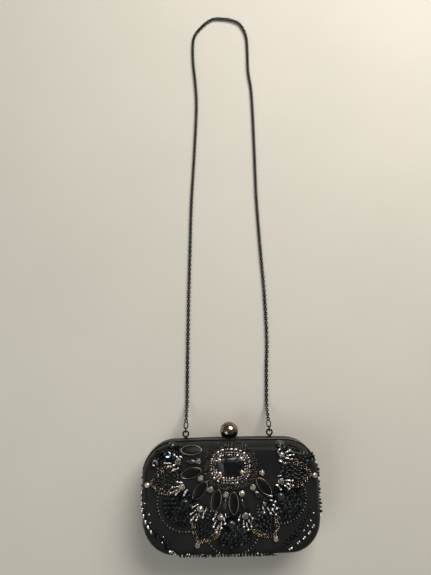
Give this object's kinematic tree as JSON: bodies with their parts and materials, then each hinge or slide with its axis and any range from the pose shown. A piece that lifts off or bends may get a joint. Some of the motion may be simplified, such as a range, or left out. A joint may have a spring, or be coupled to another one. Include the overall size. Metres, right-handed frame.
{
  "type": "evening bag",
  "caption": "Rectangular hard box clutch in black satin with a beaded front, gunmetal hinged frame, ball latch and fine chain strap.",
  "frame": {"origin": "centre of the flat rear face that the bag lies on", "axes": "+X along the bag's length, +Y to the opening edge with the ball and the strap, +Z out of the beaded front"},
  "size_m": [0.178, 0.6088, 0.0496],
  "materials": {
    "satin": "black satin glued over the case",
    "board": "moulded case board under the satin",
    "lining": "black satin lining",
    "gunmetal": "polished gunmetal plating",
    "ball_metal": "polished gunmetal plating on the ball",
    "chain_metal": "dark gunmetal plated chain and links",
    "black_stone": "faceted and domed black acrylic stones",
    "champagne_stone": "foiled champagne rhinestones",
    "silver_bead": "silver-lined bugle and seed beads"
  },
  "bodies": {
    "case": {"rear_satin": "satin", "rear_shell": "board", "rear_lining": "lining", "rear_frame": "gunmetal", "left_rear_knuckles": "gunmetal", "right_rear_knuckles": "gunmetal", "left_hinge_pin": "gunmetal", "right_hinge_pin": "gunmetal", "latch_bracket": "gunmetal", "left_bracket_rivet": "gunmetal", "right_bracket_rivet": "gunmetal", "latch_pin": "gunmetal", "latch_spring": "gunmetal", "left_eyelet": "gunmetal", "right_eyelet": "gunmetal"},
    "lid": {"front_satin": "satin", "front_shell": "board", "front_lining": "lining", "front_frame": "gunmetal", "left_lid_knuckle": "gunmetal", "right_lid_knuckle": "gunmetal", "latch_keeper": "gunmetal", "medallion_stone": "black_stone", "medallion_bezel": "gunmetal", "medallion_seed_band": "silver_bead", "medallion_bugle_band": "silver_bead", "navette_stone_1": "black_stone", "navette_stone_2": "black_stone", "navette_stone_3": "black_stone", "navette_stone_4": "black_stone", "navette_stone_5": "black_stone", "navette_stone_6": "black_stone", "navette_bezel_1": "gunmetal", "navette_bezel_2": "gunmetal", "navette_bezel_3": "gunmetal", "navette_bezel_4": "gunmetal", "navette_bezel_5": "gunmetal", "navette_bezel_6": "gunmetal", "petal_stone_1": "champagne_stone", "petal_stone_2": "champagne_stone", "petal_stone_3": "champagne_stone", "petal_stone_4": "champagne_stone", "flower_stone_1": "black_stone", "flower_stone_2": "black_stone", "flower_stone_3": "black_stone", "flower_stone_4": "black_stone", "flower_stone_5": "black_stone"},
    "latch": {"latch_lever": "gunmetal", "ball_collar": "ball_metal", "ball_knob": "ball_metal"},
    "strap": {"left_connector_link": "chain_metal", "right_connector_link": "chain_metal", "left_clasp_link": "chain_metal", "right_clasp_link": "chain_metal", "chain": "chain_metal"}
  },
  "joints": [
    {"name": "lid_hinge", "type": "hinge", "parent": "case", "child": "lid", "pos_m": [0, -0.0533, 0.023], "axis": [1, 0, 0], "range_deg": [0, 85]},
    {"name": "latch_press", "type": "hinge", "parent": "case", "child": "latch", "pos_m": [0, 0.0426, 0.017], "axis": [1, 0, 0], "range_deg": [-10, 0], "stiffness_Nm_per_rad": 0.05, "springref_deg": 20.05},
    {"name": "strap_swing", "type": "hinge", "parent": "case", "child": "strap", "pos_m": [0, 0.0612, 0.0195], "axis": [1, 0, 0], "range_deg": [0, 90]}
  ]
}
